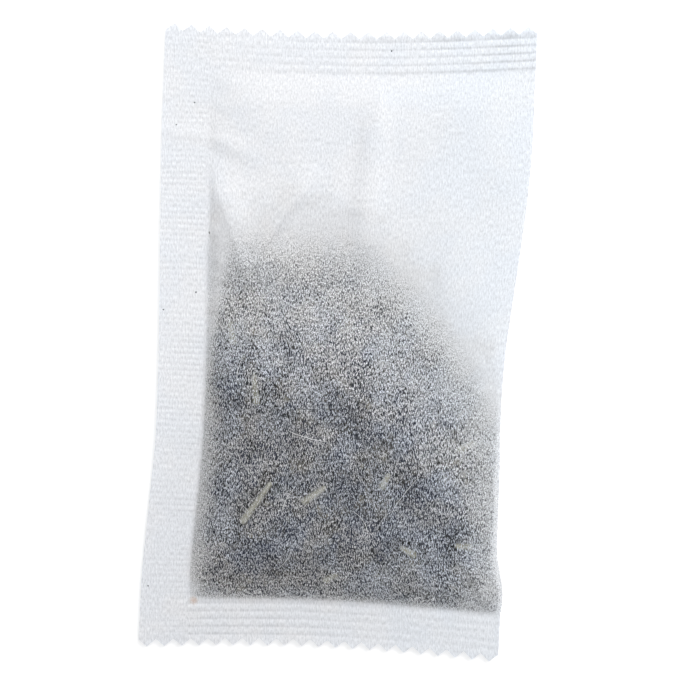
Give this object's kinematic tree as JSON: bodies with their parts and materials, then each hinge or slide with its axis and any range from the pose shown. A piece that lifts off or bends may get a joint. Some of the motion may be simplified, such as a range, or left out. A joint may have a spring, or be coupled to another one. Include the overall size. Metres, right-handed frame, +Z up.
{
  "type": "tea bag",
  "caption": "Flat heat-sealed filter paper sachet with ribbed side and end seals, pinked ends and a folded side, filled with broken leaf and stalks.",
  "frame": {"origin": "on the table, under the middle of the flat bag", "axes": "+Z up out of the table, +Y towards the top seal, +X from the side seal towards the fold"},
  "size_m": [0.0507, 0.0866, 0.0072],
  "materials": {
    "filter_paper": "uncoated, fibrous and translucent",
    "broken_leaf": "dry crushed leaf",
    "pale_stalk": "dry split stalk"
  },
  "bodies": {
    "root": {"filter_paper_pouch": "filter_paper", "tea_fill": "broken_leaf", "tea_stalk_1": "pale_stalk", "tea_stalk_2": "pale_stalk", "tea_stalk_3": "pale_stalk", "tea_stalk_4": "pale_stalk", "tea_stalk_5": "pale_stalk", "tea_stalk_6": "pale_stalk", "tea_stalk_7": "pale_stalk", "tea_stalk_8": "pale_stalk", "tea_stalk_9": "pale_stalk"}
  },
  "joints": []
}
